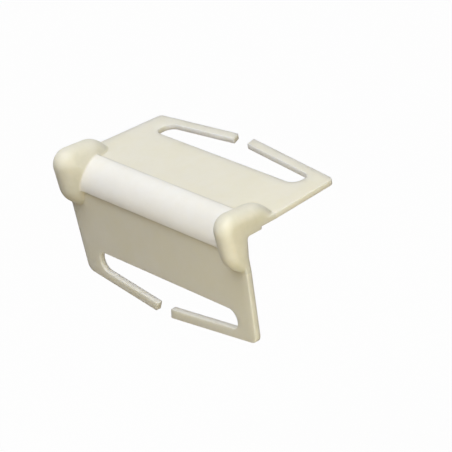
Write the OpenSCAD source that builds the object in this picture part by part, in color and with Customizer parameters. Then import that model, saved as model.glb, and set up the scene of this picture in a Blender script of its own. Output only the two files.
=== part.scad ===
// Corner protector: two matching plates joined at a right angle, moulded in one piece.
// A rounded band runs along the corner between two end bumps, and each plate has a long slot
// that a slanted slit opens towards the plate's outer edge.
// The origin is where the edge of the load sits, half way along the corner. X runs along the corner,
// the top plate reaches towards +Y and the front plate hangs towards -Z.

/* [Plates] */
// Width along the corner
corner_w = 121.2; // [104:0.2:150]
// Width across the outer corners of a plate
edge_w = 116.2; // [104:0.2:120]
// Length of a plate at its sides, from the outer corner of the angle
leg_side = 53.4; // [46:0.2:56]
// Length of a plate at the peak of its outer edge, over the slit
leg_mid = 60.6; // [57:0.2:66]
// Thickness of a plate
plate_t = 2.7; // [2:0.1:3.4]
// Radius of the outer corners of the top plate
top_corner_r = 2.4; // [1:0.1:8]
// Radius of the outer corners of the front plate
front_corner_r = 4; // [1:0.1:8]

/* [Slots and slits] */
// Distance from the outer corner of the angle to the straight side of a slot
slot_from = 41; // [34:0.5:42]
// Length of a slot along the corner
slot_w = 94.8; // [80:0.2:96]
// Width of the arms that close a slot on its outer side
arm_w = 4.7; // [3:0.1:6]
// Gap between the tips of the two arms
slit_w = 9.7; // [5:0.1:14]
// Place of the slit along the corner
slit_x = -5.4; // [-12:0.2:12]
// Lean of the slit from the square direction
slit_lean = 19; // [0:1:25]
// Radius of the corners of the arm tips
tip_r = 0.5; // [0.3:0.1:1.4]

/* [Corner band] */
// Reach of the band along each plate
band_reach = 11.5; // [11:0.1:15]
// Height of the band over the plates
band_rise = 1.2; // [0.8:0.1:2]
// Height of the inner pad over the inner faces of the plates
pad_rise = 1.2; // [0.8:0.1:2]
// Radius in the inner corner of the pad
pad_r = 1.2; // [0.5:0.1:1.5]

/* [End bumps] */
// Width of a bump at its foot, along the corner
bump_w = 12.8; // [12.2:0.2:16]
// Height of a bump over the plates at the corner
bump_h = 7.3; // [5.5:0.1:7.8]
// Straight length of a bump along each plate
bump_leg = 9.6; // [8.4:0.2:13]
// Slope of a bump towards its tail
bump_fall = 4.5; // [2:0.5:6]
// Radius of the tail that comes down to the plate
tail_r = 11; // [10:0.2:12]
// Radius along the inner edge of a bump
bump_r_in = 6; // [2:0.1:7]
// Radius along the outer edge of a bump
bump_r_out = 4.5; // [1:0.1:4.5]
// Draft of the inner side of a bump
bump_draft = 28; // [4:1:32]

/* [Hidden] */

// Straight pieces in a rounded corner
arc_steps = 8;
$fn = 96;

// Depth of the inner corner behind the outer faces of the plates
seat = plate_t + pad_rise;
// Small radius where the band steps down to a plate
step_r = 0.4;
// Outer radius of the band, which leaves a narrow flat strip before each step
band_r = band_reach + band_rise - 2 * step_r;
// Sideways slope of the slit
lean = tan(slit_lean);
// Distance of the tail's turning axis below the foot of the bump
tail_axis = tail_r - bump_h;
// Turn of the tail, enough to bring its crest into the plate
tail_turn = acos((tail_axis * cos(bump_fall) + bump_leg * sin(bump_fall) - plate_t / 3) / tail_r) - bump_fall;
// Length of a bump along a plate, up to the foot of its tail
bump_len = bump_leg * cos(bump_fall) - tail_axis * sin(bump_fall)
    + sqrt(tail_r ^ 2 - (tail_axis * cos(bump_fall) + bump_leg * sin(bump_fall)) ^ 2);
// Depth of the band's outer face behind the outer corner of the angle, on the bisecting line
band_depth = band_r * (1 - sqrt(0.5)) - band_rise;
// Depth on the bisecting line to which a bump goes in, half way through the band
bump_root = (band_depth + seat) / 2;

function unit(v) = v / norm(v);

function turned(v, a) = [v.x * cos(a) - v.y * sin(a), v.x * sin(a) + v.y * cos(a)];

// Points of the arc of radius r that rounds the corner b between its neighbours a and c
function fillet(a, b, c, r) =
    let (u = unit(a - b), v = unit(c - b), half = acos(u * v) / 2)
    let (centre = b + unit(u + v) * r / sin(half))
    let (from = b + u * r / tan(half) - centre, to = b + v * r / tan(half) - centre)
    let (sweep = sign(cross(from, to)) * (180 - 2 * half))
    [for (i = [0 : arc_steps]) centre + turned(from, sweep * i / arc_steps)];

// Outline with corners [x, y, radius], where a radius of 0 leaves a corner sharp
function rounded(corners) =
    let (n = len(corners), p = [for (q = corners) [q.x, q.y]])
    [for (i = [0 : n - 1]) each corners[i].z > 0
        ? fillet(p[(i + n - 1) % n], p[i], p[(i + 1) % n], corners[i].z)
        : [p[i]]];

// Rise of a plate's outer edge towards its peak, on the left for side = -1 or on the right for side = 1
function gable(side) = (leg_mid - leg_side) / (edge_w / 2 - side * slit_x);

// Outer edge of a plate on one side of the peak, at a place x along the corner
function edge_y(side, x) = leg_mid - side * gable(side) * (x - slit_x);

// Tip of one arm at the share k of the arm's width, from -0.5 inside to 0.5 outside
function tip(side, k) =
    let (x = slit_x + side * slit_w / 2 - k * arm_w * (lean - side * gable(side)))
    [x, edge_y(side, x) - arm_w * (0.5 - k), tip_r];

// One side of a plate's outline, from the band outwards and round the arm to the slot's round end
function half_plate(side, corner_r) =
    let (slot_x = side * slot_w / 2)
    let (slot_to = edge_y(side, slot_x) - arm_w)
    let (slot_r = (slot_to - slot_from) / 2)
    [
        [side * corner_w / 2, band_reach / 2, 0],
        [side * corner_w / 2, bump_len, 0],
        [side * edge_w / 2, leg_side, corner_r],
        tip(side, 0.5),
        tip(side, -0.5),
        [slot_x, slot_to, slot_r],
        [slot_x, slot_from, slot_r],
    ];

function reversed(list) = [for (i = [len(list) - 1 : -1 : 0]) list[i]];

// Height-and-width section of the bump at the right end, over the plate and down to a depth below it
function bump_section(depth) =
    let (out = corner_w / 2, foot = corner_w / 2 - bump_w)
    rounded([
        [-depth, out, 0],
        [bump_h, out, bump_r_out],
        [bump_h, foot + bump_h * tan(bump_draft), bump_r_in],
        [0, foot, 0],
        if (depth > 0) [-depth, foot, 0],
    ]);

// Lays a drawing in the plane across the corner, with its third direction along X
module along_x() {
    rotate([90, 0, 90]) children();
}

// Carries a piece from the top plate over to the front plate
module to_front() {
    mirror([0, 1, 1]) children();
}

// Plate with its slot and slit
module plate(corner_r) {
    translate([0, 0, -plate_t])
        linear_extrude(plate_t)
            polygon(rounded(concat(half_plate(-1, corner_r), reversed(half_plate(1, corner_r)))));
}

// Thick band along the corner, round outside and square inside
module band() {
    along_x()
        translate([0, 0, -corner_w / 2])
            linear_extrude(corner_w)
                polygon(rounded([
                    [band_reach, band_rise, step_r],
                    [-band_rise, band_rise, band_r],
                    [-band_rise, -band_reach, step_r],
                    [plate_t / 2, -band_reach, 0],
                    [plate_t, -band_reach - pad_rise, 0],
                    [seat, -seat, pad_r],
                    [band_reach, -seat, step_r],
                ]));
}

// Everything behind the middle of the plates and of the band, where a bump ends
module inner_side() {
    polygon([
        [plate_t / 2, plate_t / 2 - 2 * bump_root],
        [2 * bump_root - plate_t / 2, -plate_t / 2],
        [leg_mid, -plate_t / 2],
        [leg_mid, -leg_mid],
        [plate_t / 2, -leg_mid],
    ]);
}

// Straight stretch and tail of the right bump on the top plate
module bump_arm() {
    rotate([-bump_fall, 0, 0]) {
        rotate(-120, [1, 1, 1])
            linear_extrude(bump_leg)
                polygon(bump_section(bump_root));
        translate([0, bump_leg, -tail_axis])
            along_x()
                rotate_extrude(start = 90 - tail_turn, angle = tail_turn)
                    translate([tail_axis, 0])
                        polygon(bump_section(bump_root));
    }
}

// Bump at the right end, which wraps round the corner
module bump() {
    difference() {
        union() {
            bump_arm();
            to_front() bump_arm();
            along_x()
                rotate_extrude(start = 90 - bump_fall, angle = 90 + 2 * bump_fall)
                    polygon(bump_section(0));
        }
        along_x()
            linear_extrude(corner_w)
                inner_side();
    }
}

module corner_protector() {
    color("#ece6da")
        translate([0, -seat, seat]) {
            plate(top_corner_r);
            to_front() plate(front_corner_r);
            band();
            for (end = [0, 1])
                mirror([end, 0, 0]) bump();
        }
}

corner_protector();
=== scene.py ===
"""Looks of a corner protector that is moulded in one piece from natural plastic.

The part is one closed skin. Its middle is a closed section, with the corner band, the inner pad and the
two end bumps, which is carried from the top plate round the corner to the front plate. Its outer parts are
the two plates with their slots, whose rounded edge is an edge profile carried along the plate's outline.
Sizes are in millimetres from the outer corner of the angle until the mesh is written in metres.
"""

import logging
from dataclasses import dataclass, field
from enum import Enum

import bpy
import numpy as np
from mathutils import Matrix, Vector


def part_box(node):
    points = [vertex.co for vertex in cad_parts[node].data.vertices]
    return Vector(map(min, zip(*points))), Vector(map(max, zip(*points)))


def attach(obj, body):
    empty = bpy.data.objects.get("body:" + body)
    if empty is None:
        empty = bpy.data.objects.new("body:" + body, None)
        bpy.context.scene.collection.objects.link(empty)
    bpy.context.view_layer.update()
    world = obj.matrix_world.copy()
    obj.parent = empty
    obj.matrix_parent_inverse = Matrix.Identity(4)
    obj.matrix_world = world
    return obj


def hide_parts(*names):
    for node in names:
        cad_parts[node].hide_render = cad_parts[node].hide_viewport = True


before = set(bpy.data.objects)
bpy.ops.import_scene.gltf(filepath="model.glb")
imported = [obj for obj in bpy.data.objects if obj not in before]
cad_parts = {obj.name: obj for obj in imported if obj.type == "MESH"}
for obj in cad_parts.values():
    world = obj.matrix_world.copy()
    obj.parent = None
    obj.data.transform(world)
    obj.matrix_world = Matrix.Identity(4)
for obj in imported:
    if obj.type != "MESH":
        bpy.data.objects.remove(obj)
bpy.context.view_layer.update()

Array = np.ndarray
Colour = tuple[float, float, float, float]
Span = tuple[float, float]
Triple = tuple[float, float, float]
Node = bpy.types.Node
Socket = bpy.types.NodeSocket
MM = 0.001
TINY = 1e-6
FAR = 1e6
WHITE = (1.0, 1.0, 1.0, 1.0)
NODE = "corner_protector"
log = logging.getLogger(NODE)


class Leg(Enum):
    """The two plates of the angle, which mirror each other in the plane that halves it."""

    TOP = "top"
    FRONT = "front"

    @property
    def out(self) -> Array:
        """Direction in Y and Z in which the plate's outer face looks."""
        return np.array([0.0, 1.0] if self is Leg.TOP else [-1.0, 0.0])

    def place(self, along: Array, height: Array) -> tuple[Array, Array]:
        """Turns distances along a plate and heights over it into Y and Z.

        Args:
            along: Distance from the outer corner along the plate.
            height: Height over the plate's outer face.

        Returns:
            Y and Z from the outer corner.
        """
        return (along, height) if self is Leg.TOP else (-height, -along)


class Mask(Enum):
    """The masks that the skin carries for its finish."""

    # Pale edges: partly wear from handling, partly painted light.
    EDGE = "edge"
    BAND = "band"
    BUMP = "bump"
    # Painted shade line beside the band's step.
    SEAM = "seam"


def arc(centre: tuple[float, float], radius: float, angles: Array) -> Array:
    """Points centre + radius (cos a, sin a) for angles a in degrees.

    Args:
        centre: Centre of the arc.
        radius: Radius of the arc.
        angles: Angles in degrees.

    Returns:
        One row of two numbers for each angle.
    """
    turn = np.radians(angles)
    return np.array(centre) + radius * np.stack([np.cos(turn), np.sin(turn)], axis=-1)


def unit(rows: Array) -> Array:
    """Rows v / |v| of length 1."""
    return rows / np.linalg.norm(rows, axis=1, keepdims=True)


def smooth_max(a: Array, b: Array, width: Array) -> Array:
    """The larger of a and b, with a parabola of the given width where they meet.

    Args:
        a: First heights.
        b: Second heights.
        width: Differences of heights within which the parabola runs.

    Returns:
        max(a, b) + max(width - |a - b|, 0)^2 / (4 width).
    """
    return np.maximum(a, b) + np.maximum(width - np.abs(a - b), 0.0) ** 2 / (4.0 * width)


def ease(share: Array) -> Array:
    """Smooth step s^2 (3 - 2 s) of a share s, held between 0 and 1."""
    share = np.clip(share, 0.0, 1.0)
    return share**2 * (3.0 - 2.0 * share)


def towards(azimuth: float, elevation: float) -> Array:
    """Direction from the part, with the azimuth measured from the front towards +X."""
    a, e = np.radians([azimuth, elevation])
    return np.array([np.sin(a) * np.cos(e), -np.cos(a) * np.cos(e), np.sin(e)])


def rounded_path(path: Array, steps: int) -> tuple[Array, Array]:
    """Rounds the inner corners of an open path that keeps the material on its left.

    The arc of a corner turns about the point that lies at its radius from both sides, so a point is
    centre + R(k sweep / steps) start, and its inward normal is along the same spoke.

    Args:
        path: Rows of x, y and radius. The radii of the first and last row are not used.
        steps: Straight pieces in each arc.

    Returns:
        Points of the rounded path with its two ends, and their inward normals.
    """
    point, radius = path[1:-1, :2], path[1:-1, 2:]
    back, ahead = unit(path[:-2, :2] - point), unit(path[2:, :2] - point)
    half = np.arccos(np.sum(back * ahead, axis=1, keepdims=True)) / 2.0
    centre = point + unit(back + ahead) * radius / np.sin(half)
    start = point + back * radius / np.tan(half) - centre
    side = np.sign(back[:, :1] * ahead[:, 1:] - back[:, 1:] * ahead[:, :1])
    turn = -side * (np.pi - 2.0 * half) * np.linspace(0.0, 1.0, steps + 1)
    cos, sin = np.cos(turn), np.sin(turn)
    spoke = np.stack(
        [start[:, :1] * cos - start[:, 1:] * sin, start[:, :1] * sin + start[:, 1:] * cos], axis=-1
    )
    points = (centre[:, None] + spoke).reshape(-1, 2)
    normals = (spoke * (side / radius)[:, None]).reshape(-1, 2)
    ends = path[[0, -1], :2]
    first = np.array([back[0, 1], -back[0, 0]])
    last = np.array([-ahead[-1, 1], ahead[-1, 0]])
    return np.vstack([ends[:1], points, ends[1:]]), np.vstack([[first], normals, [last]])


@dataclass(frozen=True)
class Plate:
    """One plate of the angle, seen flat: x along the corner and r away from the outer corner."""

    corner_w: float
    edge_w: float = 116.2
    leg_side: float = 53.4
    leg_mid: float = 60.6
    thickness: float = 2.7
    top_corner_r: float = 2.4
    front_corner_r: float = 4.0
    slot_from: float = 41.0
    slot_w: float = 94.8
    arm_w: float = 4.7
    slit_w: float = 9.7
    slit_x: float = -5.4
    slit_lean: float = 19.0
    tip_r: float = 0.5
    edge_r: float = 0.42
    inner_edge_r: float = 0.3
    edge_support: float = 0.47
    arc_steps: int = 10

    def gable(self, side: int) -> float:
        """Slope of the outer edge towards its peak over the slit, on one side."""
        return (self.leg_mid - self.leg_side) / (self.edge_w / 2.0 - side * self.slit_x)

    def half_width(self, r: Array, straight: float) -> Array:
        """Half the plate's width, straight up to a distance and then tapering to the outer corners.

        Args:
            r: Distance from the outer corner.
            straight: Distance at which the taper starts.

        Returns:
            Half widths.
        """
        share = np.clip((r - straight) / (self.leg_side - straight), 0.0, 1.0)
        return (self.corner_w + (self.edge_w - self.corner_w) * share) / 2.0

    def outer_edge(self, side: int, x: float) -> float:
        """Distance of one side's outer edge from the corner, at a place along the corner."""
        return self.leg_mid - side * self.gable(side) * (x - self.slit_x)

    def tip(self, side: int, share: float) -> list[float]:
        """One corner of an arm's tip.

        Args:
            side: 1 for the right arm and -1 for the left one.
            share: 0.5 for the outer corner and -0.5 for the inner one.

        Returns:
            x, r and radius.
        """
        lean = np.tan(np.radians(self.slit_lean)) - side * self.gable(side)
        x = self.slit_x + side * self.slit_w / 2.0 - share * self.arm_w * lean
        return [x, self.outer_edge(side, x) - self.arm_w * (0.5 - share), self.tip_r]

    def half_outline(self, leg: Leg, side: int, start: float, straight: float) -> list[list[float]]:
        """Corners of half the outline, from the side edge round the arm to the slot's round end.

        Args:
            leg: The plate, whose outer corners have their own radius.
            side: 1 for the right half and -1 for the left half.
            start: Distance from the corner at which the outline starts.
            straight: Distance at which the taper of the sides starts.

        Returns:
            Rows of x, r and radius.
        """
        end = side * self.slot_w / 2.0
        slot_to = self.outer_edge(side, end) - self.arm_w
        slot_r = (slot_to - self.slot_from) / 2.0
        corner_r = self.top_corner_r if leg is Leg.TOP else self.front_corner_r
        return [
            [side * float(self.half_width(np.array(start), straight)), start, 0.0],
            [side * self.edge_w / 2.0, self.leg_side, corner_r],
            self.tip(side, 0.5),
            self.tip(side, -0.5),
            [end, slot_to, slot_r],
            [end, self.slot_from, slot_r],
        ]

    def outline(self, leg: Leg, start: float, straight: float) -> tuple[Array, Array]:
        """The open outline from the right side, round the slot, to the left side.

        Args:
            leg: The plate.
            start: Distance from the corner at which the outline starts and ends.
            straight: Distance at which the taper of the sides starts.

        Returns:
            Points and inward normals.
        """
        right = self.half_outline(leg, 1, start, straight)
        left = self.half_outline(leg, -1, start, straight)
        return rounded_path(np.array(right + left[::-1]), self.arc_steps)


@dataclass(frozen=True)
class ShadeLine:
    """Painted shade line along the band's edge, standing for the shade of its step: its place past the step,
    its half width and its strength.
    """

    shift: float
    width: float
    strength: float

    def at(self, past: Array) -> Array:
        """Strength times exp(-((p - shift) / width)^2) at distances p past the band's step."""
        return self.strength * np.exp(-(((past - self.shift) / self.width) ** 2))


@dataclass(frozen=True)
class Band:
    """The thick band along the corner: a round bead outside and a pad inside.

    The rows are those of the flat plate, the bump's tail, the run to the foot, the foot, the step and the
    bead. The tail marks, measured from the tail's foot, part the first three groups of rows.
    """

    reach: float = 11.5
    rise: float = 1.2
    radius: float = 11.9
    step_r: float = 0.6
    foot_r: float = 0.25
    pad_rise: float = 1.2
    pad_r: float = 1.2
    rows: tuple[int, ...] = (4, 24, 11, 5, 7, 18)
    tail_marks: tuple[float, ...] = (0.6, 0.4, -3.0, -3.3)
    foot_gap: float = 0.1
    bead_gap: float = 0.05
    step_skew: float = 1e-3
    tone_step: float = 0.3
    # Painted shade on the band's upper rounded edge and under its lower step.
    top_seam: ShadeLine = ShadeLine(shift=-0.4, width=0.3, strength=0.5)
    front_seam: ShadeLine = ShadeLine(shift=0.3, width=0.5, strength=1.0)

    @property
    def axis(self) -> float:
        """Distance of the bead's centre line from both outer faces."""
        return self.radius - self.rise

    def stations(self, inner_end: float, outer_end: float, tail: float) -> Array:
        """Profile of the bead and the plate over one leg, as distances r and heights.

        The plate is flat, a foot fillet and a rounded step lead up to the bead, and the bead is a circle
        of its radius about its axis.

        Args:
            inner_end: Distance at which the fan of the corner starts.
            outer_end: Distance at which the flat outer part of the plate starts.
            tail: Distance at which the bump's tail meets the plate.

        Returns:
            Rows of r and height, from the plate towards the corner.
        """
        flat_n, tail_n, run_n, foot_n, step_n, bead_n = self.rows
        marks = [tail + mark for mark in self.tail_marks]
        flat_r = np.concatenate([
            np.linspace(outer_end, marks[0], flat_n),
            np.linspace(marks[1], marks[2], tail_n),
            np.linspace(marks[3], self.reach + self.foot_r + self.foot_gap, run_n),
        ])
        flat = np.stack([flat_r, np.zeros_like(flat_r)], axis=-1)
        foot_at = (self.reach + self.foot_r, self.foot_r)
        foot = arc(foot_at, self.foot_r, np.linspace(270.0, 180.0, foot_n))
        step_at = (self.reach - self.step_r, self.rise - self.step_r)
        step = arc(step_at, self.step_r, np.linspace(0.0, 90.0, step_n)) - [self.step_skew, 0.0]
        bead_r = np.linspace(self.axis - self.bead_gap, inner_end, bead_n)
        bead_h = np.sqrt(self.radius**2 - (bead_r - self.axis) ** 2) - self.axis
        return np.concatenate([flat, foot, step, np.stack([bead_r, bead_h], axis=-1)])

    def pad_depth(self, leg: Leg, r: Array, height: Array, thickness: float) -> Array:
        """Depth of the inner face behind a plate's outer face.

        On the top leg the pad steps down with the bead, and on the front leg it thins out evenly.

        Args:
            leg: The plate.
            r: Distances from the outer corner.
            height: Heights of the bead at these distances.
            thickness: Thickness of the plate.

        Returns:
            Depths.
        """
        if leg is Leg.TOP:
            stepped = np.where(r < self.reach - self.step_r, self.rise, np.clip(height, 0.0, self.rise))
            return thickness + self.pad_rise * stepped / self.rise
        seat = thickness + self.pad_rise
        end = self.reach + self.pad_rise
        return thickness + self.pad_rise * np.clip((end - r) / (end - seat), 0.0, 1.0)


@dataclass(frozen=True)
class Bump:
    """The bump at each end of the band, which wraps round the corner.

    The columns are those of the inner side, the shoulder, the outer arc, the edge and the crest.
    """

    out: float
    width: float = 12.8
    height: float = 7.3
    leg: float = 9.6
    fall: float = 4.5
    tail_r: float = 11.0
    r_in: float = 6.0
    r_out: float = 4.5
    draft: float = 28.0
    root_depth: float = 6.0
    root_taper: float = 0.06
    root_blend: float = 0.6
    crease_blend: float = 0.4
    tail_blend: float = 2.4
    blend_run: float = 5.0
    tone_rise: float = 0.9
    columns: tuple[int, ...] = (30, 20, 10, 9, 4)

    @property
    def foot(self) -> float:
        """Place of the inner foot along the corner."""
        return self.out - self.width

    @property
    def tail_centre(self) -> tuple[float, float]:
        """The axis about which the tail turns.

        Returns:
            Its distance r and its height.
        """
        turn, depth = np.radians(self.fall), self.tail_r - self.height
        return (
            float(self.leg * np.cos(turn) - depth * np.sin(turn)),
            float(-self.leg * np.sin(turn) - depth * np.cos(turn)),
        )

    @property
    def length(self) -> float:
        """Length along a plate up to the foot of the tail."""
        r, z = self.tail_centre
        return float(r + np.sqrt(self.tail_r**2 - z**2))

    def section(self, plate: Plate) -> tuple[Array, Array]:
        """Section across one bump: places along the corner and the heights that belong to them.

        The inner side rises with its draft, an arc leads to the crest, and an arc leads down to the end.
        Below the plate's level the side turns upright, as slope s log(1 + exp(h / s)) with the blend s.

        Args:
            plate: The plate, for the edge that the section ends on.

        Returns:
            Places x and section heights, from the inner foot to the end face.
        """
        side_n, shoulder_n, outer_n, edge_n, crest_n = self.columns
        slope = np.tan(np.radians(self.draft))
        reach = self.r_in / np.tan(np.radians(90.0 + self.draft) / 2.0)
        side_h = np.linspace(-self.root_depth, self.height - reach * np.cos(np.radians(self.draft)), side_n)
        lean = slope * self.root_blend * np.logaddexp(0.0, side_h / self.root_blend)
        side_x = self.foot + lean + self.root_taper * np.minimum(side_h, 0.0)
        centre_in = (self.foot + self.height * slope + reach, self.height - self.r_in)
        shoulder = arc(centre_in, self.r_in, np.linspace(180.0 - self.draft, 90.0, shoulder_n)[1:])
        insets = np.array([plate.edge_support, plate.edge_r])
        support, edge = np.degrees(np.arccos(1.0 - insets / self.r_out))
        angles = np.concatenate([np.linspace(90.0, support, outer_n), np.linspace(edge, 0.0, edge_n)])
        outer = arc((self.out - self.r_out, self.height - self.r_out), self.r_out, angles)
        crest = np.linspace(shoulder[-1], outer[0], crest_n)[1:-1]
        whole = np.concatenate([np.stack([side_x, side_h], axis=-1), shoulder, crest, outer])
        return whole[:, 0], whole[:, 1]

    def over_leg(self, r: Array, section_h: Array) -> Array:
        """Height of the bump over a plate, for each distance r and section height h.

        Over the straight stretch it is h / cos(fall) - r tan(fall), and over the tail it is a circle of
        radius h + tail_r - height about the tail's axis.

        Args:
            r: Distances from the outer corner, as a column.
            section_h: Section heights, as a row.

        Returns:
            Heights over the plate.
        """
        turn = np.radians(self.fall)
        centre_r, centre_z = self.tail_centre
        straight = section_h / np.cos(turn) - r * np.tan(turn)
        spoke = np.maximum(section_h + self.tail_r - self.height, 0.0)
        tail = centre_z + np.sqrt(np.maximum(spoke**2 - (r - centre_r) ** 2, 0.0))
        on_leg = r <= self.leg * np.cos(turn) + section_h * np.sin(turn)
        return np.where(on_leg, straight, tail)

    def to_stretch(self, pivot: float, spoke: Array, section_h: Array) -> Array:
        """Distance from the fan's pivot to the plane of the straight stretch over the top plate.

        The plane falls away from the corner, so the distance along a spoke is the gap over the pivot
        divided by sin(spoke) + cos(spoke) tan(fall).

        Args:
            pivot: Distance of the pivot from both outer faces.
            spoke: Angles of the spokes in radians, as a column.
            section_h: Section heights, as a row.

        Returns:
            Distances, which are very large where a spoke doesn't meet the plane.
        """
        turn = np.radians(self.fall)
        lift = np.sin(spoke) + np.cos(spoke) * np.tan(turn)
        gap = section_h / np.cos(turn) + pivot * (1.0 - np.tan(turn))
        return np.where(lift > TINY, gap / np.maximum(lift, TINY), FAR)

    def over_corner(self, pivot: float, angle: Array, section_h: Array) -> Array:
        """Distance of the bump's surface from the pivot of the corner's fan, along each spoke.

        A spoke leaves the bump through the elbow, a circle of radius h about the outer corner, or through
        the plane of one of the two straight stretches.

        Args:
            pivot: Distance of the pivot from both outer faces.
            angle: Angles of the spokes in degrees, as a column.
            section_h: Section heights, as a row.

        Returns:
            Distances from the pivot.
        """
        turn, spoke = np.radians(self.fall), np.radians(angle)
        top = self.to_stretch(pivot, spoke, section_h)
        front = self.to_stretch(pivot, 1.5 * np.pi - spoke, section_h)
        along = pivot * (np.cos(spoke) - np.sin(spoke))
        inside = along**2 - 2.0 * pivot**2 + section_h**2
        elbow = -along + np.sqrt(np.maximum(inside, 0.0))
        at = np.arctan2(elbow * np.sin(spoke) - pivot, pivot + elbow * np.cos(spoke)) % (2.0 * np.pi)
        turned = (at >= 0.5 * np.pi - turn) & (at <= np.pi + turn)
        on_elbow = (inside > 0.0) & (section_h > 0.0) & turned
        return np.where(on_elbow, elbow, np.minimum(top, front))


@dataclass(frozen=True)
class WearAndLight:
    """How pale the edges are painted, from 0 to 1: partly wear from handling, partly painted light on walls
    that face the corner.
    """

    ends: float = 0.15
    end_faces: float = 0.05
    far_walls: float = 0.15
    front_share: float = 0.5

    def along(self, leg: Leg, normal: Array) -> Array:
        """Paleness along a plate's outline, partly wear and partly painted light, strongest on the walls that
        face the corner.

        Args:
            leg: The plate, of which the top one is painted palest.
            normal: Inward normals of the outline.

        Returns:
            A column of strengths w + (1 - w) n, for the paleness w of the far walls and the normal's share n
            away from the corner.
        """
        facing = np.clip(normal[:, 1:], 0.0, 1.0)
        share = 1.0 if leg is Leg.TOP else self.front_share
        return (self.far_walls + (1.0 - self.far_walls) * facing) * share


@dataclass(frozen=True)
class Spokes:
    """Spokes through the wall, one row for each.

    A spoke has its foot in Y and Z, its direction and its distance r along the plate. Along it lie the
    inner face, the band's outer face and, in each column, the bump.
    """

    foot: Array
    way: Array
    r: Array
    inner: Array
    lift: Array
    over: Array

    def turned(self) -> "Spokes":
        """The same spokes in the opposite order."""
        return Spokes(*(values[::-1] for values in vars(self).values()))

    def then(self, *others: "Spokes") -> "Spokes":
        """These spokes with others after them."""
        runs = [vars(run).values() for run in (self, *others)]
        return Spokes(*(np.concatenate(parts) for parts in zip(*runs)))


@dataclass(frozen=True)
class OuterSide:
    """Outer side of the section, one row for each spoke.

    A row has the part's half width, and for each column its place x, its height, its inset into the
    rounded edge and its drop there.
    """

    half: Array
    x: Array
    height: Array
    inset: Array
    drop: Array


@dataclass
class Wiring:
    """Adds nodes to one node tree and joins them."""

    tree: bpy.types.NodeTree

    def add(self, kind: str, **settings: object) -> Node:
        """Adds a node of a kind.

        Args:
            kind: Blender's name of the kind.
            settings: The node's settings by name.

        Returns:
            The new node.
        """
        node = self.tree.nodes.new(kind)
        for name, value in settings.items():
            setattr(node, name, value)
        return node

    def join(self, source: object, socket: Socket) -> None:
        """Joins an input to another socket, or sets it to a plain value.

        Args:
            source: The socket or the value.
            socket: The input.
        """
        if isinstance(source, bpy.types.NodeSocket):
            self.tree.links.new(source, socket)
        else:
            socket.default_value = source

    def feed(self, node: Node, **inputs: object) -> Node:
        """Feeds a node's inputs, named by words joined with an underscore.

        Args:
            node: The node.
            inputs: For each input either the socket that it is joined to or a plain value.

        Returns:
            The same node.
        """
        for name, source in inputs.items():
            socket = next(s for s in node.inputs if s.enabled and s.name.replace(" ", "_") == name)
            self.join(source, socket)
        return node

    def ramp(self, value: Socket, limits: Span, to: Span = (0.0, 1.0)) -> Socket:
        """Carries a value between two limits smoothly over to a new range.

        Args:
            value: The value.
            limits: Its lower and upper limit.
            to: The ends of the new range.

        Returns:
            The new value.
        """
        node = self.add("ShaderNodeMapRange", interpolation_type="SMOOTHSTEP")
        ends = {"From_Min": limits[0], "From_Max": limits[1], "To_Min": to[0], "To_Max": to[1]}
        return self.feed(node, Value=value, **ends).outputs[0]

    def reckon(self, kind: str, first: object, second: object) -> Socket:
        """Reckons with two values.

        Args:
            kind: The sum to do, such as ADD, MULTIPLY or MAXIMUM.
            first: First socket or value.
            second: Second socket or value.

        Returns:
            The result.
        """
        node = self.add("ShaderNodeMath", operation=kind)
        self.join(first, node.inputs[0])
        self.join(second, node.inputs[1])
        return node.outputs[0]

    def share_out(self, first: Socket, second: Socket, share: float) -> Socket:
        """Mean share first + (1 - share) second of two values."""
        one, other = self.reckon("MULTIPLY", first, share), self.reckon("MULTIPLY", second, 1.0 - share)
        return self.reckon("ADD", one, other)

    def tint(self, share: object, first: object, second: object) -> Socket:
        """Mixes two colours by a share from 0 to 1."""
        node = self.add("ShaderNodeMix", data_type="RGBA")
        return self.feed(node, Factor=share, A=first, B=second).outputs[2]

    def blend(self, share: object, first: Node, second: Node) -> Node:
        """Mixes two shaders.

        Args:
            share: Share of the second shader, as a socket or a value.
            first: First shader.
            second: Second shader.

        Returns:
            The node that mixes them.
        """
        node = self.add("ShaderNodeMixShader")
        for source, socket in zip((share, first.outputs[0], second.outputs[0]), node.inputs):
            self.join(source, socket)
        return node


@dataclass(frozen=True)
class Noise:
    """A noise with a scale per metre, a number of finer layers and their strength."""

    scale: float
    detail: float
    rough: float

    def add(self, wires: Wiring, place: Socket) -> Socket:
        """Adds the noise to a node tree.

        Args:
            wires: The node tree.
            place: The place at which the noise is read.

        Returns:
            Its value from 0 to 1.
        """
        node = wires.add("ShaderNodeTexNoise")
        wires.feed(node, Vector=place, Scale=self.scale, Detail=self.detail, Roughness=self.rough)
        return node.outputs[0]


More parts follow.
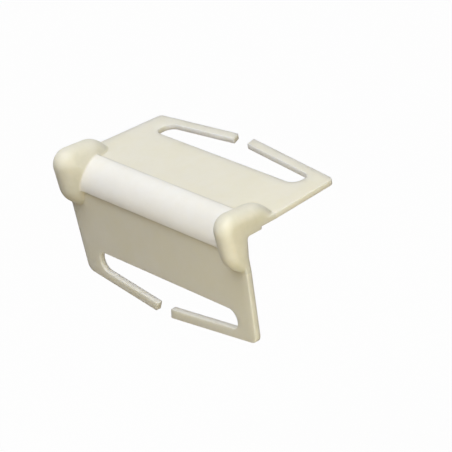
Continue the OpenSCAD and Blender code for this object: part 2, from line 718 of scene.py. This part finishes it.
@dataclass(frozen=True)
class MouldedSkin:
    """Node group of a moulded skin: cloudy tone, fine grain, slow waves and uneven gloss."""

    clouds: Noise = Noise(scale=46.0, detail=3.0, rough=0.55)
    specks: Noise = Noise(scale=414.0, detail=2.0, rough=0.5)
    grain: Noise = Noise(scale=1500.0, detail=2.0, rough=0.6)
    waves: Noise = Noise(scale=85.0, detail=1.0, rough=0.4)
    gloss: Noise = Noise(scale=138.0, detail=4.0, rough=0.65)
    cloud_share: float = 0.75
    grain_share: float = 0.16
    tone_limits: Span = (0.34, 0.66)
    gloss_limits: Span = (0.3, 0.7)

    def make(self) -> bpy.types.NodeTree:
        """Makes the group.

        Returns:
            A group that turns a place into Tone, Height and Gloss, each from about 0 to 1.
        """
        group = bpy.data.node_groups.new("moulded_skin", "ShaderNodeTree")
        group.interface.new_socket("Place", in_out="INPUT", socket_type="NodeSocketVector")
        for name in ("Tone", "Height", "Gloss"):
            group.interface.new_socket(name, in_out="OUTPUT", socket_type="NodeSocketFloat")
        wires = Wiring(group)
        place = wires.add("NodeGroupInput").outputs["Place"]
        tone = wires.share_out(self.clouds.add(wires, place), self.specks.add(wires, place), self.cloud_share)
        height = wires.share_out(self.grain.add(wires, place), self.waves.add(wires, place), self.grain_share)
        wires.feed(
            wires.add("NodeGroupOutput"),
            Tone=wires.ramp(tone, self.tone_limits),
            Height=height,
            Gloss=wires.ramp(self.gloss.add(wires, place), self.gloss_limits),
        )
        return group


@dataclass(frozen=True)
class RubbedAndLitEdges:
    """Node group of pale edges in a broken line, partly rubbed by handling and partly painted light."""

    breaks: Noise = Noise(scale=240.0, detail=3.0, rough=0.6)
    break_limits: Span = (0.36, 0.62)
    break_shares: Span = (0.6, 1.0)
    edge_limits: Span = (0.15, 0.9)

    def make(self) -> bpy.types.NodeTree:
        """Makes the group.

        Returns:
            A group that turns a place and the edge mask into the Mask of the pale spots, worn and painted
            light.
        """
        group = bpy.data.node_groups.new("rubbed_edges", "ShaderNodeTree")
        group.interface.new_socket("Place", in_out="INPUT", socket_type="NodeSocketVector")
        group.interface.new_socket("Edge", in_out="INPUT", socket_type="NodeSocketFloat")
        group.interface.new_socket("Mask", in_out="OUTPUT", socket_type="NodeSocketFloat")
        wires = Wiring(group)
        start = wires.add("NodeGroupInput")
        broken = self.breaks.add(wires, start.outputs["Place"])
        broken = wires.ramp(broken, self.break_limits, self.break_shares)
        near = wires.ramp(start.outputs["Edge"], self.edge_limits)
        wires.feed(wires.add("NodeGroupOutput"), Mask=wires.reckon("MULTIPLY", near, broken))
        return group


@dataclass(frozen=True)
class NaturalPlastic:
    """Finish of the part: undyed plastic, cloudy, whiter in the band, creamier in the bumps, with painted
    light on pale edges and a painted shade line beside the band.
    """

    thin: Colour = (0.83, 0.78, 0.61, 1.0)
    stout: Colour = (0.925, 0.895, 0.82, 1.0)
    thick: Colour = (0.678, 0.66, 0.538, 1.0)
    pale: Colour = (0.86, 0.82, 0.71, 1.0)
    pale_share: float = 0.4
    # Pale edge colour: partly wear, partly painted light on walls that face the corner.
    rubbed: Colour = (0.98, 0.95, 0.87, 1.0)
    # Painted shade colour for the line beside the band's step.
    painted_shade: Colour = (0.34, 0.31, 0.20, 1.0)
    painted_shade_share: float = 0.8
    rough: Span = (0.48, 0.62)
    grain_depth: float = 0.00012
    ior: float = 1.49
    glow: float = 1.0
    glow_reach: Triple = (1.0, 0.95, 0.85)
    glow_scale: float = 0.008

    def make(self) -> bpy.types.Material:
        """Makes the material.

        Returns:
            A material that reads Object coordinates and the skin's masks.
        """
        material = bpy.data.materials.new("natural_plastic_finish")
        material.use_nodes = True
        wires = Wiring(material.node_tree)
        place = wires.add("ShaderNodeTexCoord").outputs["Object"]
        edge, band, high, seam = (
            wires.add("ShaderNodeAttribute", attribute_name=mask.value).outputs["Fac"] for mask in Mask
        )
        skin = wires.feed(wires.add("ShaderNodeGroup", node_tree=MouldedSkin().make()), Place=place)
        worn_and_lit = wires.add("ShaderNodeGroup", node_tree=RubbedAndLitEdges().make())
        wires.feed(worn_and_lit, Place=place, Edge=edge)
        body = wires.tint(high, wires.tint(band, self.thin, self.stout), self.thick)
        body = wires.tint(wires.reckon("MULTIPLY", skin.outputs["Tone"], self.pale_share), body, self.pale)
        # Pale edges: partly wear, partly painted light.
        body = wires.tint(worn_and_lit.outputs["Mask"], body, self.rubbed)
        # Painted shade line beside the band.
        body = wires.tint(wires.reckon("MULTIPLY", seam, self.painted_shade_share), body, self.painted_shade)
        bump = wires.add("ShaderNodeBump")
        wires.feed(bump, Strength=1.0, Distance=self.grain_depth, Height=skin.outputs["Height"])
        wires.feed(
            material.node_tree.nodes["Principled BSDF"],
            Base_Color=body,
            Roughness=wires.ramp(skin.outputs["Gloss"], (0.0, 1.0), self.rough),
            Normal=bump.outputs["Normal"],
            IOR=self.ior,
            Subsurface_Weight=self.glow,
            Subsurface_Radius=self.glow_reach,
            Subsurface_Scale=self.glow_scale,
        )
        return material


@dataclass
class Protector:
    """The whole part: the closed skin with its masks, and its finish."""

    plate: Plate
    band: Band
    bump: Bump
    wear_and_light: WearAndLight = WearAndLight()
    finish: NaturalPlastic = NaturalPlastic()
    name: str = "protector_body"
    outer_end: float = 24.0
    fan_steps: int = 36
    middle_columns: int = 7
    foot_gap: float = 0.5
    no_bump: float = -50.0
    edge_slack: float = 1e-3
    face_columns: int = 2
    end_columns: int = 6
    back_columns: int = 9
    points: list[Array] = field(default_factory=list)
    faces: list[list[int]] = field(default_factory=list)
    masks: dict[Mask, list[Array]] = field(default_factory=lambda: {mask: [] for mask in Mask})

    @property
    def seat(self) -> float:
        """Depth of the inner corner behind the outer faces of the plates."""
        return self.plate.thickness + self.band.pad_rise

    @property
    def pivot(self) -> float:
        """Distance of the fan's pivot, the centre of the inner fillet, from both outer faces."""
        return self.seat + self.band.pad_r

    def columns(self) -> tuple[Array, Array]:
        """Columns across the outer side, from the left end to the right end.

        Returns:
            Places along the corner and the bump's section heights there.
        """
        x, h = self.bump.section(self.plate)
        middle = np.linspace(0.0, x[0] - self.foot_gap, self.middle_columns)
        low = np.full(len(middle), self.no_bump)
        x, h = np.concatenate([middle, x]), np.concatenate([low, h])
        return np.concatenate([-x[:0:-1], x]), np.concatenate([h[:0:-1], h])

    def leg_spokes(self, leg: Leg) -> Spokes:
        """Spokes square to one plate.

        Args:
            leg: The plate.

        Returns:
            The spokes, from the plate's outer part to the corner.
        """
        _, section_h = self.columns()
        flat = self.band.stations(self.pivot, self.outer_end, self.bump.length)
        r, lift = flat[:, 0], flat[:, 1]
        foot = np.stack(leg.place(r, np.zeros_like(r)), axis=-1)
        way = np.broadcast_to(leg.out, foot.shape)
        inner = -self.band.pad_depth(leg, r, lift, self.plate.thickness)
        return Spokes(foot, way, r, inner, lift, self.bump.over_leg(r[:, None], section_h[None, :]))

    def fan_spokes(self, ends: Span) -> Spokes:
        """Spokes that fan out from the pivot, evenly between the two plates.

        A spoke leaves the band where it meets the circle about the band's axis.

        Args:
            ends: Heights of the inner face over the top plate and over the front plate.

        Returns:
            The spokes, from the top plate to the front plate.
        """
        band = self.band
        _, section_h = self.columns()
        angle = np.linspace(90.0, 180.0, self.fan_steps + 1)[1:-1]
        way = arc((0.0, 0.0), 1.0, angle)
        foot = np.broadcast_to(np.array([self.pivot, -self.pivot]), way.shape)
        from_axis = foot - np.array([band.axis, -band.axis])
        along = np.sum(from_axis * way, axis=1)
        lift = -along + np.sqrt(along**2 - np.sum(from_axis**2, axis=1) + band.radius**2)
        share = (angle - 90.0) / 90.0
        inner = self.pivot + ends[0] + (ends[1] - ends[0]) * share
        over = self.bump.over_corner(self.pivot, angle[:, None], section_h[None, :])
        return Spokes(foot, way, np.zeros_like(lift), inner, lift, over)

    def spokes(self) -> Spokes:
        """All the spokes through the wall.

        Returns:
            The spokes, from the top plate round the corner to the front plate.
        """
        top, front = self.leg_spokes(Leg.TOP), self.leg_spokes(Leg.FRONT)
        fan = self.fan_spokes((top.inner[-1], front.inner[-1]))
        return top.then(fan, front.turned())

    def outer_side(self, row: Spokes) -> OuterSide:
        """Outer side of the section: the smooth maximum of the band and the bump.

        The band drops by a quarter circle at its ends, and the blend widens along the bump's tail.

        Args:
            row: The spokes.

        Returns:
            The outer side.
        """
        plate, bump = self.plate, self.bump
        x, _ = self.columns()
        half = plate.half_width(row.r, bump.length)[:, None]
        share = np.clip((np.abs(x) - bump.foot) / (bump.width - bump.r_out), 0.0, 1.0)
        place = x[None, :] + np.sign(x) * share * (half - bump.out)
        inset = np.clip(np.abs(place) - (half - plate.edge_r), 0.0, plate.edge_r)
        drop = plate.edge_r - np.sqrt(plate.edge_r**2 - inset**2)
        far = np.clip((row.r[:, None] - self.band.reach) / bump.blend_run, 0.0, 1.0)
        blend = bump.crease_blend + (bump.tail_blend - bump.crease_blend) * far
        height = smooth_max(row.lift[:, None] - drop, row.over, blend)
        return OuterSide(half, place, height, inset, drop)

    def middle_points(self, row: Spokes, side: OuterSide) -> Array:
        """The closed section carried round the corner.

        After the outer side come the end face, a quarter circle, the inner face, and the same on the
        other end. A point lies at its place x and at foot + d way, for its distance d along the spoke.

        Args:
            row: The spokes.
            side: The outer side.

        Returns:
            Points as rows, columns and 3.
        """
        half, outer, inner = side.half, side.height, row.inner[:, None]
        inner_r = self.plate.inner_edge_r
        quarter = np.radians(np.linspace(0.0, 90.0, self.end_columns))
        end_x = half - inner_r * (1.0 - np.cos(quarter))[None, :]
        end_d = inner + inner_r * (1.0 - np.sin(quarter))[None, :]
        face_share = np.arange(1.0, self.face_columns + 1.0)[None, :] / (self.face_columns + 1.0)
        face_d = outer[:, -1:] + (end_d[:, :1] - outer[:, -1:]) * face_share
        face_x = np.broadcast_to(half, face_d.shape)
        back_x = (half - self.plate.edge_support) * np.linspace(1.0, -1.0, self.back_columns)[None, :]
        back_d = np.broadcast_to(inner, back_x.shape)
        xs = [side.x, face_x, end_x, back_x, -end_x[:, ::-1], -face_x[:, ::-1]]
        ds = [outer, face_d, end_d, back_d, end_d[:, ::-1], face_d[:, ::-1]]
        reach = np.concatenate(ds, axis=1)[..., None]
        flat = row.foot[:, None, :] + reach * row.way[:, None, :]
        return np.concatenate([np.concatenate(xs, axis=1)[..., None], flat], axis=2)

    def around(self, over: Array, face: Array | float, turn: Array | float, back: Array | float) -> Array:
        """Values round the section: the outer side, then the two ends and the inner face.

        Args:
            over: Values on the outer side.
            face: Value on the end faces.
            turn: Value on the quarter circles.
            back: Value on the inner face.

        Returns:
            One value for each point of the section.
        """
        ends = [(face, self.face_columns), (turn, self.end_columns)]
        parts = ends + [(back, self.back_columns)] + ends[::-1]
        spread = [np.broadcast_to(value, (len(over), count)) for value, count in parts]
        return np.concatenate([over] + spread, axis=1)

    def middle_masks(self, row: Spokes, side: OuterSide) -> dict[Mask, Array]:
        """Masks of the middle: pale edges, partly worn and partly painted light, the band, the bumps and the
        painted shade lines.

        The bump's mask eases in with the height over the band, and doesn't fall again towards the end.

        Args:
            row: The spokes.
            side: The outer side.

        Returns:
            Each mask at the middle's points.
        """
        band, wear_and_light = self.band, self.wear_and_light
        above = ease((side.height - row.lift[:, None] + side.drop) / self.bump.tone_rise)
        right = np.maximum.accumulate(above[:, above.shape[1] // 2 :], axis=1)
        on_bump = np.concatenate([right[:, :0:-1], right], axis=1)
        last = on_bump[:, -1:]
        past = row.r - band.reach
        on_band = ease(1.0 - past / band.tone_step)[:, None]
        to_front = -row.way[:, 0] > row.way[:, 1]
        # Painted shade line along the band's step.
        painted_shade = np.where(to_front, band.front_seam.at(past), band.top_seam.at(past))[:, None]
        # Pale rounded ends: partly wear, partly painted light.
        worn_and_lit = wear_and_light.ends * side.inset / self.plate.edge_r * (1.0 - on_bump)
        return {
            Mask.EDGE: self.around(worn_and_lit, wear_and_light.end_faces, wear_and_light.ends, 0.0),
            Mask.BAND: self.around(np.broadcast_to(on_band, on_bump.shape), on_band, on_band, on_band),
            Mask.BUMP: self.around(on_bump, last, last, 0.0),
            Mask.SEAM: self.around(painted_shade * (1.0 - on_bump), 0.0, 0.0, 0.0),
        }

    def add_middle(self) -> tuple[Array, Array]:
        """Adds the middle of the skin.

        Returns:
            The grid of its point numbers and the grid of its points.
        """
        row = self.spokes()
        side = self.outer_side(row)
        points = self.middle_points(row, side)
        for mask, values in self.middle_masks(row, side).items():
            self.masks[mask].append(values.ravel())
        number = np.arange(points.shape[0] * points.shape[1]).reshape(points.shape[:2])
        self.points.append(points.reshape(-1, 3))
        ahead = np.roll(number, -1, axis=1)
        quads = np.stack([number[:-1], number[1:], ahead[1:], ahead[:-1]], axis=-1)
        self.faces += quads.reshape(-1, 4).tolist()
        return number, points

    def add_plate(self, leg: Leg, number: Array, profile: Array, columns: tuple[Array, ...]) -> None:
        """Adds the outer part of a plate: its rounded edge and its two flat faces.

        The edge profile, a depth d in from the outline and a height h, is carried along the outline, so a
        point is outline + d normal at the height h.

        Args:
            leg: The plate.
            number: Point numbers of the middle's row that the plate joins.
            profile: Rows of depth and height, from the outer face round the edge to the inner face.
            columns: Column numbers of the right edge, the inner face, the left edge and the outer face.
        """
        right, back, left, front = columns
        outline, normal = self.plate.outline(leg, self.outer_end, self.bump.length)
        spots = outline[1:-1, None, :] + normal[1:-1, None, :] * profile[None, :, :1]
        height = np.broadcast_to(profile[None, :, 1], spots.shape[:2])
        y, z = leg.place(spots[..., 1], height)
        points = np.stack([spots[..., 0], y, z], axis=-1)
        start = sum(len(p) for p in self.points)
        inner = start + np.arange(points.shape[0] * points.shape[1]).reshape(points.shape[:2])
        ring = np.vstack([number[right], inner, number[left]])
        quads = np.stack([ring[:-1, :-1], ring[:-1, 1:], ring[1:, 1:], ring[1:, :-1]], axis=-1)
        face_out = ring[:, 0].tolist() + number[front].tolist()
        face_in = ring[:, -1].tolist() + number[back][::-1].tolist()
        sides = [quads.reshape(-1, 4), [face_out], [face_in[::-1]]]
        turn = slice(None, None, -1) if leg is Leg.FRONT else slice(None)
        self.faces += [list(face)[turn] for side in sides for face in side]
        self.points.append(points.reshape(-1, 3))
        # Pale edges: partly wear, partly painted light, strongest on the walls that face the corner.
        near = np.clip(1.0 - profile[None, :, 0] / self.plate.edge_r, 0.0, 1.0)
        near = self.wear_and_light.along(leg, normal[1:-1]) * near
        for mask, values in self.masks.items():
            values.append((near if mask is Mask.EDGE else np.zeros_like(near)).ravel())

    def build(self) -> bpy.types.Object:
        """Makes the closed skin and writes its masks.

        Returns:
            The new object, at the origin.
        """
        number, grid = self.add_middle()
        x, _ = self.columns()
        cols, ends = number.shape[1], self.face_columns + self.end_columns
        edge = self.plate.half_width(np.array(self.outer_end), self.bump.length)
        depth = edge - np.abs(grid[0, :, 0])
        on_edge = (depth[: len(x)] < self.plate.edge_support + self.edge_slack) & (x > 0)
        first, last = np.flatnonzero(on_edge)[0], len(x) + ends
        right = np.arange(first, last + 1)
        left = np.concatenate([np.arange(cols - ends - 1, cols), np.arange(0, len(x) - first)])[::-1]
        back = np.arange(last + 1, last + self.back_columns - 1)
        front = np.arange(len(x) - first, first)
        profile = np.stack([depth[right], grid[0, right, 2]], axis=-1)
        for leg, row in ((Leg.TOP, number[0]), (Leg.FRONT, number[-1])):
            self.add_plate(leg, row, profile, (right, back, left, front))
        points = (np.vstack(self.points) + np.array([0.0, -self.seat, self.seat])) * MM
        mesh = bpy.data.meshes.new(self.name)
        mesh.from_pydata(points.tolist(), [], self.faces)
        mesh.validate()
        mesh.shade_smooth()
        for mask, values in self.masks.items():
            layer = mesh.attributes.new(mask.value, "FLOAT", "POINT")
            layer.data.foreach_set("value", np.concatenate(values).astype(np.float32))
        piece = bpy.data.objects.new(self.name, mesh)
        bpy.context.scene.collection.objects.link(piece)
        return piece

    def dress(self, piece: bpy.types.Object) -> None:
        """Gives the skin its finish."""
        piece.data.materials.append(self.finish.make())


class LampKind(Enum):
    """Kinds of lamp: a far one with an angle, and a near panel with a size."""

    SUN = "SUN"
    AREA = "AREA"


@dataclass(frozen=True)
class Lamp:
    """A lamp that looks at the part. Its spread is a sun's degrees or a panel's metres."""

    name: str
    kind: LampKind
    energy: float
    spread: float
    azimuth: float
    elevation: float
    distance: float
    colour: Triple = (1.0, 1.0, 1.0)

    def hang(self) -> None:
        """Hangs the lamp in its direction, at its distance in metres."""
        data = bpy.data.lights.new(self.name, self.kind.value)
        data.energy, data.color = self.energy, self.colour
        if self.kind is LampKind.SUN:
            data.angle = float(np.radians(self.spread))
        else:
            data.size = self.spread
        back = Vector(towards(self.azimuth, self.elevation).tolist())
        lamp = bpy.data.objects.new(self.name, data)
        lamp.location = back * self.distance
        lamp.rotation_mode = "QUATERNION"
        lamp.rotation_quaternion = (-back).to_track_quat("-Z", "Y")
        bpy.context.scene.collection.objects.link(lamp)


@dataclass(frozen=True)
class Studio:
    """Camera, lamps, world and floor: a broad high key and a weak low panel near the right end."""

    target: Triple = (5.82, 28.48, -24.17)
    azimuth: float = 55.254
    elevation: float = 26.778
    roll: float = 10.838
    distance: float = 1118.4
    lens: float = 208.41
    sensor: float = 36.0
    sight: Span = (0.01, 50.0)
    key: Lamp = Lamp(
        "key_light", LampKind.SUN, energy=3.08, spread=50.0, azimuth=42.0, elevation=66.0, distance=3.0
    )
    panel: Lamp = Lamp(
        "side_panel", LampKind.AREA, energy=0.295, spread=0.2, azimuth=71.0, elevation=-17.0, distance=0.26,
        colour=(1.0, 0.94, 0.70),
    )
    ambient: float = 0.055
    floor_drop: float = 0.30
    floor_size: float = 12.0
    floor_paint: Colour = (0.18, 0.14, 0.10, 1.0)
    floor_rough: float = 0.9
    floor_sheet: Colour = (0.95, 0.95, 0.95, 1.0)
    floor_glow: float = 0.85

    def camera(self) -> None:
        """Makes the camera on a sphere about its target, rolled about its own axis."""
        a, t = np.radians([self.azimuth, self.roll])
        back = towards(self.azimuth, self.elevation)
        level = np.array([np.cos(a), np.sin(a), 0.0])
        right = np.cos(t) * level - np.sin(t) * np.cross(back, level)
        data = bpy.data.cameras.new("portrait_camera")
        data.lens, data.sensor_width = self.lens, self.sensor
        data.clip_start, data.clip_end = self.sight
        camera = bpy.data.objects.new("portrait_camera", data)
        turn = Matrix(np.stack([right, np.cross(back, right), back], axis=1).tolist()).to_4x4()
        place = (np.array(self.target) + back * self.distance) * MM
        camera.matrix_world = Matrix.Translation(place.tolist()) @ turn
        bpy.context.scene.collection.objects.link(camera)
        bpy.context.scene.camera = camera

    def light(self) -> None:
        """Hangs the lamps."""
        self.key.hang()
        self.panel.hang()

    @staticmethod
    def seen(wires: Wiring) -> Socket:
        """Picks out the rays that show the background.

        Args:
            wires: The node tree.

        Returns:
            Share 1 for rays from the camera, from gloss and through glass, and 0 for the others.
        """
        path = wires.add("ShaderNodeLightPath").outputs
        both = wires.reckon("MAXIMUM", path["Is Camera Ray"], path["Is Glossy Ray"])
        return wires.reckon("MAXIMUM", both, path["Is Transmission Ray"])

    def world(self) -> None:
        """Makes the world: even light on the part and white where it is seen."""
        world = bpy.data.worlds.new("studio_world")
        world.use_nodes = True
        nodes, wires = world.node_tree.nodes, Wiring(world.node_tree)
        light = wires.feed(nodes["Background"], Color=WHITE, Strength=self.ambient)
        white = wires.feed(wires.add("ShaderNodeBackground"), Color=WHITE)
        mix = wires.blend(self.seen(wires), light, white)
        wires.feed(nodes["World Output"], Surface=mix.outputs[0])
        bpy.context.scene.world = world

    def floor(self, height: float) -> None:
        """Makes the pale floor below the part, which keeps the part's shadow.

        Args:
            height: Height of the floor in metres.
        """
        half = self.floor_size / 2.0
        corners = [(-half, -half, height), (half, -half, height), (half, half, height), (-half, half, height)]
        mesh = bpy.data.meshes.new("studio_floor")
        mesh.from_pydata(corners, [], [(0, 1, 2, 3)])
        material = bpy.data.materials.new("floor_paint")
        material.use_nodes = True
        nodes, wires = material.node_tree.nodes, Wiring(material.node_tree)
        paint = wires.feed(nodes["Principled BSDF"], Base_Color=self.floor_paint, Roughness=self.floor_rough)
        sheet = wires.feed(wires.add("ShaderNodeBsdfDiffuse"), Color=self.floor_sheet)
        glow = wires.feed(wires.add("ShaderNodeEmission"), Color=WHITE)
        mix = wires.blend(self.seen(wires), paint, wires.blend(self.floor_glow, sheet, glow))
        wires.feed(nodes["Material Output"], Surface=mix.outputs[0])
        mesh.materials.append(material)
        floor = bpy.data.objects.new("studio_floor", mesh)
        bpy.context.scene.collection.objects.link(floor)


def main() -> None:
    """Builds the studio and the part."""
    logging.basicConfig(level=logging.INFO, format="%(name)s: %(message)s")
    bpy.context.scene.view_settings.view_transform = "Standard"
    studio = Studio()
    studio.camera()
    studio.light()
    studio.world()
    low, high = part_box(NODE)
    studio.floor(low.z - studio.floor_drop)
    width = (high.x - low.x) / MM
    protector = Protector(Plate(corner_w=width), Band(), Bump(out=width / 2.0))
    piece = protector.build()
    protector.dress(piece)
    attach(piece, "root")
    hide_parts(NODE)
    log.info("%s: %d faces", piece.name, len(piece.data.polygons))


if __name__ == "__main__":
    main()
